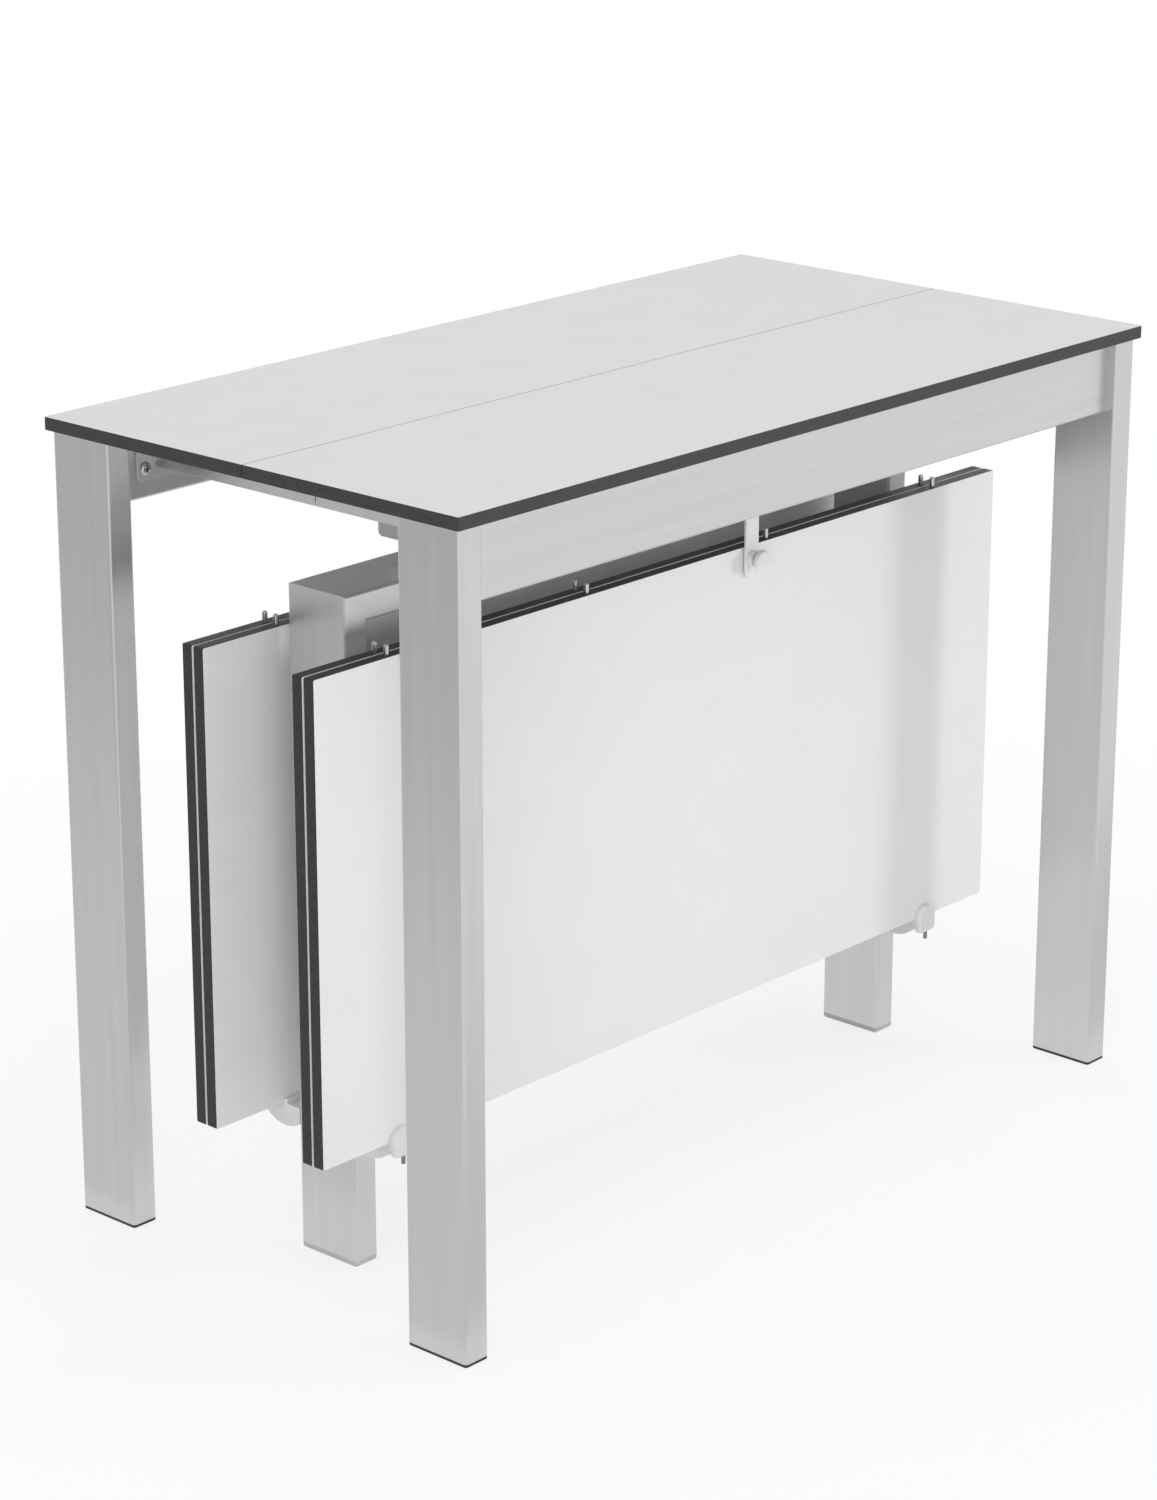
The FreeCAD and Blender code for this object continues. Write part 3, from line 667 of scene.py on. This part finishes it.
easePlate("clip_brackets", plateSteel, plateEdge["boreFacet"])     # the bores of the ears keep their edges
print("clips done")


# Screws: pan heads with a cross recess.

screw = dict(headRadius=4.5, headHeight=2.5, shankRadius=2, shankLength=3, sides=24, rings=10,
             slotLength=5.4, slotWidth=1.4, slotDepth=1.6, slotPast=1, skin=0.25, turnStep=1.1)


def crossTool():
    # the cross that the recess is cut with, one closed shape of four arms
    reach, half = screw["slotLength"] / 2, screw["slotWidth"] / 2
    outline = []
    for quarter in range(4):
        turn = Matrix.Rotation(quarter * math.pi / 2, 3, "Z")
        for x, y in ((reach, -half), (reach, half), (half, half)):
            outline.append(turn @ Vector((x, y, screw["headHeight"] - screw["slotDepth"])))
    return prism(outline, (screw["slotDepth"] + screw["slotPast"]) * upward)


def screwMesh():
    # one screw, its head standing on the plane z = 0; the recess is dark with painted shade
    form = bmesh.new()
    dome = bmesh.ops.create_uvsphere(form, u_segments=screw["sides"], v_segments=screw["rings"],
                                     radius=screw["headRadius"])["verts"]
    bmesh.ops.scale(form, vec=(1, 1, screw["headHeight"] / screw["headRadius"]), verts=dome)
    cut = bmesh.ops.bisect_plane(form, geom=form.verts[:] + form.edges[:] + form.faces[:],
                                 plane_co=(0, 0, 0), plane_no=(0, 0, 1), clear_inner=True)
    bmesh.ops.edgeloop_fill(form, edges=[e for e in cut["geom_cut"] if isinstance(e, bmesh.types.BMEdge)])
    form = carve(form, crossTool())
    mergeVertices(form)                   # an edge of the dome passes through each inner corner of the cross
    recess = math.hypot(screw["slotLength"], screw["slotWidth"]) / 2
    form.normal_update()
    for face in form.faces:
        middle = face.calc_center_median()
        away = middle.xy.length
        domeHeight = screw["headHeight"] * math.sqrt(max(0, 1 - (away / screw["headRadius"]) ** 2))
        # faces inside the cross take the dark steel: painted shade in the recess
        face.material_index = int(away < recess and touch < middle.z < domeHeight - screw["skin"])
    addRod(form, -screw["shankLength"] * upward, Vector(), screw["shankRadius"], screw["sides"])
    mesh = bpy.data.meshes.new("screw")
    form.to_mesh(mesh)
    form.free()
    return mesh


oneScrew = screwMesh()


def addScrews(name, places, body):
    # places hold a point under the head, the way the head faces and a size against the usual screw
    form = bmesh.new()
    for index, (point, facing, size) in enumerate(places):
        known = len(form.verts)
        form.from_mesh(oneScrew)
        form.verts.ensure_lookup_table()
        spin = Matrix.Rotation(index * screw["turnStep"], 4, "Z")     # no two recesses stand alike
        place = Matrix.Translation(point) @ facing.to_track_quat("Z", "Y").to_matrix().to_4x4() @ spin
        bmesh.ops.transform(form, matrix=place @ Matrix.Scale(size, 4), verts=form.verts[known:])
    finishPiece(name, form, [zincSteel, pinSteelAndPaintedShade], body=body)


bracketScrew = dict(outerInset=9.5, outerHeight=11.5, outerSize=1.4, innerHeight=6, innerInsets=(6, 43.8),
                    tab=22, tabInset=13, tabWall=3)
coverScrew = dict(flangeInset=7, places=(26, 155), wall=2)
hangerScrew = dict(inset=6, acrossHalf=20, beamInset=29)
restScrew = dict(below=10, backWall=4)
clipScrew = dict(fromMiddle=17.3, plateWall=2)

for half, side in halfSides.items():
    low, high = nodeBox(half + "_rail_brackets")
    plateY = side * (min(abs(low.y), abs(high.y)) + bracketScrew["tab"])
    tabY = plateY - side * bracketScrew["tabInset"]
    coverX = nodeBox(half + "_rail_covers")[1].x - coverScrew["flangeInset"]
    innerX = min(abs(v.co.x / mm) for v in frame["nodes"][half + "_rail_brackets"].data.vertices)
    towardsMiddle = Vector((0, -side, 0))
    places = []
    for end in (-1, 1):
        outerX = end * (high.x - bracketScrew["outerInset"])
        places.append((Vector((outerX, plateY, low.z + bracketScrew["outerHeight"])), towardsMiddle,
                       bracketScrew["outerSize"]))
        for inset in bracketScrew["innerInsets"]:
            places.append((Vector((end * (innerX + inset), plateY, low.z + bracketScrew["innerHeight"])),
                           towardsMiddle, 1))
        places.append((Vector((outerX, tabY, high.z - bracketScrew["tabWall"])), -upward, 1))
        for y in coverScrew["places"]:
            places.append((Vector((end * coverX, side * y, high.z - coverScrew["wall"])), -upward, 1))
    addScrews(half + "_frame_screws", places, half + "_half")

hangerLow, hangerHigh = nodeBox("right_hanger")
restLow, restHigh = nodeBox("front_right_rest")
plateLow, plateHigh = nodeBox("clip_brackets")
knobLow, knobHigh = nodeBox("front_clip_knob")
hangerX = hangerHigh.x - hangerScrew["inset"]
beamX = capEnd - hangerScrew["beamInset"]
restX = (restLow.x + restHigh.x) / 2
clipX = (knobLow.x + knobHigh.x) / 2
clipZ = (plateLow.z + plateHigh.z) / 2
places = []
for end in (-1, 1):
    for side in (-1, 1):
        y = side * hangerScrew["acrossHalf"]
        outward = Vector((0, side, 0))
        backY = side * (centreLegFace + restScrew["backWall"])
        places.append((Vector((end * hangerX, y, hangerLow.z)), -upward, 1))
        places.append((Vector((end * beamX, y, hangerHigh.z)), upward, 1))
        places.append((Vector((end * restX, backY, restHigh.z - restScrew["below"])), outward, 1))
for side in (-1, 1):
    outward = Vector((0, side, 0))
    plateY = side * (centreLegFace + clipScrew["plateWall"])
    for end in (-1, 1):
        x = -side * clipX + end * clipScrew["fromMiddle"]
        places.append((Vector((x, plateY, clipZ)), outward, 1))
addScrews("centre_screws", places, "centre_support")
bpy.data.meshes.remove(oneScrew)
print("screws done")


# Nodes carried over from the frame get their materials.

def dress(material, *nodes):
    for node in nodes:
        frame["nodes"][node].material_slots[0].material = material


for half in halfSides:
    dress(uprightSteel, half + "_left_leg", half + "_right_leg")
    dress(levelSteel, half + "_apron")
    for end in endNames:
        dress(extrudedAluminium, *[f"{half}_{end}_rail_{stage}" for stage in railStages])
for end in endNames:
    dress(extrudedAluminium, end + "_middle_rail")
    dress(uprightSteel, end + "_centre_leg")
dress(levelSteel, "crossbar", "cross_beam")
dress(uprightSteel, "crossbar_posts")
dress(zincSteel, "clip_pins")
print("frame nodes dressed")


# Studio: floor, glowing sheets of painted shade that only metal mirrors, lamps, world and camera, in metres.

# The eye sees shadowShare of the floor's own shading within shadowNear, and none of it from shadowFar on.
ground = dict(reach=30, colour="#F4F4F4", shadowShare=0.22, shadowNear=0.6, shadowFar=1.5)

# Two glowing grey sheets: painted shade that only metal mirrors.  One lies left of the table,
# flat from foot to wall and standing up there, and one lies in front of it.
# Their glow goes from low at the floor to top at the height that fade gives.
sideShadeSheet = dict(foot=-0.5, wall=-1.3, high=1.8, near=-0.5, far=3.2)
frontShadeSheet = dict(left=-0.9, right=1.2, near=-0.72, far=-0.3)
shadeSheetTone = dict(low=0.8, top=0.6, fade=0.2, lift=0.001)

lamps = dict(key=dict(place=(2.65, -3.1, 1.3), size=(0.6, 0.6), power=34),
             fill=dict(place=(-3.3, -2.7, 0.9), size=(2.6, 1.6), power=51),
             top=dict(place=(-0.3, -0.4, 3.4), size=(3.4, 3.0), power=32),
             back=dict(place=(1.8, 3.3, 1.2), size=(2.6, 1.6), power=38))
lampAim = Vector((0, 0, 0.4))
white = (1, 1, 1, 1)
ambient = 0.58                            # light that the white studio gives; looked at, it is full white

# Angles are in degrees, the lens and the sensor's width in millimetres.
view = dict(place=(-2.811, -2.501, 1.640), azimuth=42.21, elevation=18.37, lens=100.4, sensor=36)


def addSheet(name, line, near, far, material):
    # a sheet that follows a line of (x, z) points and runs from near to far along Y
    form = bmesh.new()
    rows = [[form.verts.new((x, y, z)) for x, z in line] for y in (near, far)]
    for index in range(len(line) - 1):
        form.faces.new((rows[0][index], rows[0][index + 1], rows[1][index + 1], rows[1][index]))
    mesh = bpy.data.meshes.new(name)
    form.to_mesh(mesh)
    form.free()
    mesh.materials.append(material)
    sheet = bpy.data.objects.new(name, mesh)
    bpy.context.scene.collection.objects.link(sheet)
    return sheet


def seenDirectly(tree):
    # 1 for rays that look at the backdrop itself or at its reflection, 0 for rays that carry its light
    path = addNode(tree, "ShaderNodeLightPath")
    either = addNode(tree, "ShaderNodeMath", {"operation": "MAXIMUM"},
                     {0: path.outputs["Is Camera Ray"], 1: path.outputs["Is Glossy Ray"]})
    return addNode(tree, "ShaderNodeMath", {"operation": "MAXIMUM"},
                   {0: either.outputs[0], 1: path.outputs["Is Transmission Ray"]}).outputs[0]


def floorPaint():
    # matt white paint that mostly glows for the eye, and wholly so farther off, so only a soft shadow shows
    material = bpy.data.materials.new("whiteStudioFloor")
    tree = emptyTree(material)
    matt = addNode(tree, "ShaderNodeBsdfDiffuse", {"Color": linear(ground["colour"])})
    glow = addNode(tree, "ShaderNodeEmission", {"Color": white, "Strength": 1.0})
    place = addNode(tree, "ShaderNodeTexCoord").outputs["Object"]
    away = addNode(tree, "ShaderNodeVectorMath", {"operation": "LENGTH"}, {0: place}).outputs["Value"]
    glowing = addNode(tree, "ShaderNodeMapRange",
                      {"From Min": ground["shadowNear"], "From Max": ground["shadowFar"],
                       "To Min": 1 - ground["shadowShare"], "To Max": 1.0}, {"Value": away})
    share = addNode(tree, "ShaderNodeMath", {"operation": "MULTIPLY"},
                    {0: seenDirectly(tree), 1: glowing.outputs["Result"]})
    both = addNode(tree, "ShaderNodeMixShader",
                   links={0: share.outputs[0], 1: matt.outputs[0], 2: glow.outputs[0]})
    addNode(tree, "ShaderNodeOutputMaterial", links={"Surface": both.outputs[0]})
    return material


def paintedShadeGlow():
    # glowing grey sheet of painted shade that only metal mirrors, lighter where it lies on the floor
    material = bpy.data.materials.new("greyPaintedShadeSheet")
    tree = emptyTree(material)
    place = addNode(tree, "ShaderNodeTexCoord").outputs["Object"]
    height = addNode(tree, "ShaderNodeSeparateXYZ", links={0: place}).outputs["Z"]
    tone = addNode(tree, "ShaderNodeMapRange",
                   {"From Max": shadeSheetTone["fade"], "To Min": shadeSheetTone["low"], "To Max": shadeSheetTone["top"]},
                   {"Value": height})
    shadeGlow = addNode(tree, "ShaderNodeEmission", {"Color": white}, {"Strength": tone.outputs["Result"]})
    addNode(tree, "ShaderNodeOutputMaterial", links={"Surface": shadeGlow.outputs[0]})
    material.cycles.emission_sampling = "NONE"               # seen in metal, never used as a lamp
    return material


def addLamp(name, place, size, power):
    lamp = bpy.data.lights.new(name, "AREA")
    lamp.shape = "RECTANGLE"
    lamp.size, lamp.size_y = size
    lamp.energy = power
    thing = bpy.data.objects.new(name, lamp)
    thing.location = place
    thing.rotation_euler = (lampAim - Vector(place)).to_track_quat("-Z", "Y").to_euler()
    thing.visible_glossy = False                             # metal mirrors the white studio, not the lamps
    bpy.context.scene.collection.objects.link(thing)


reach = ground["reach"]
addSheet("floor", [(-reach, 0), (reach, 0)], -reach, reach, floorPaint())
shadeGlow = paintedShadeGlow()
lift = shadeSheetTone["lift"]
sideLine = [(sideShadeSheet["foot"], lift), (sideShadeSheet["wall"], lift), (sideShadeSheet["wall"], sideShadeSheet["high"])]
frontLine = [(frontShadeSheet["left"], lift), (frontShadeSheet["right"], lift)]
# the sheets of painted shade, seen only in metal
for name, line, extent in (("sideShadeSheet", sideLine, sideShadeSheet), ("frontShadeSheet", frontLine, frontShadeSheet)):
    paintedSheet = addSheet(name, line, extent["near"], extent["far"], shadeGlow)
    paintedSheet.visible_camera = False
    paintedSheet.visible_diffuse = False
    paintedSheet.visible_shadow = False

for name, lamp in lamps.items():
    addLamp(name + "Light", lamp["place"], lamp["size"], lamp["power"])

world = bpy.data.worlds.new("whiteStudio")
bpy.context.scene.world = world
tree = emptyTree(world)
strength = addNode(tree, "ShaderNodeMapRange", {"To Min": ambient, "To Max": 1.0},
                   {"Value": seenDirectly(tree)})
sky = addNode(tree, "ShaderNodeBackground", {"Color": white}, {"Strength": strength.outputs["Result"]})
addNode(tree, "ShaderNodeOutputWorld", links={"Surface": sky.outputs[0]})

lens = bpy.data.cameras.new("camera")
lens.lens = view["lens"]
lens.sensor_width = view["sensor"]
camera = bpy.data.objects.new("camera", lens)
camera.location = view["place"]
azimuth = math.radians(view["azimuth"])
elevation = math.radians(view["elevation"])
ahead = Vector((math.cos(elevation) * math.cos(azimuth), math.cos(elevation) * math.sin(azimuth),
                -math.sin(elevation)))
camera.rotation_euler = ahead.to_track_quat("-Z", "Y").to_euler()
bpy.context.scene.collection.objects.link(camera)
bpy.context.scene.camera = camera
bpy.context.scene.view_settings.view_transform = "Standard"
print("studio done")
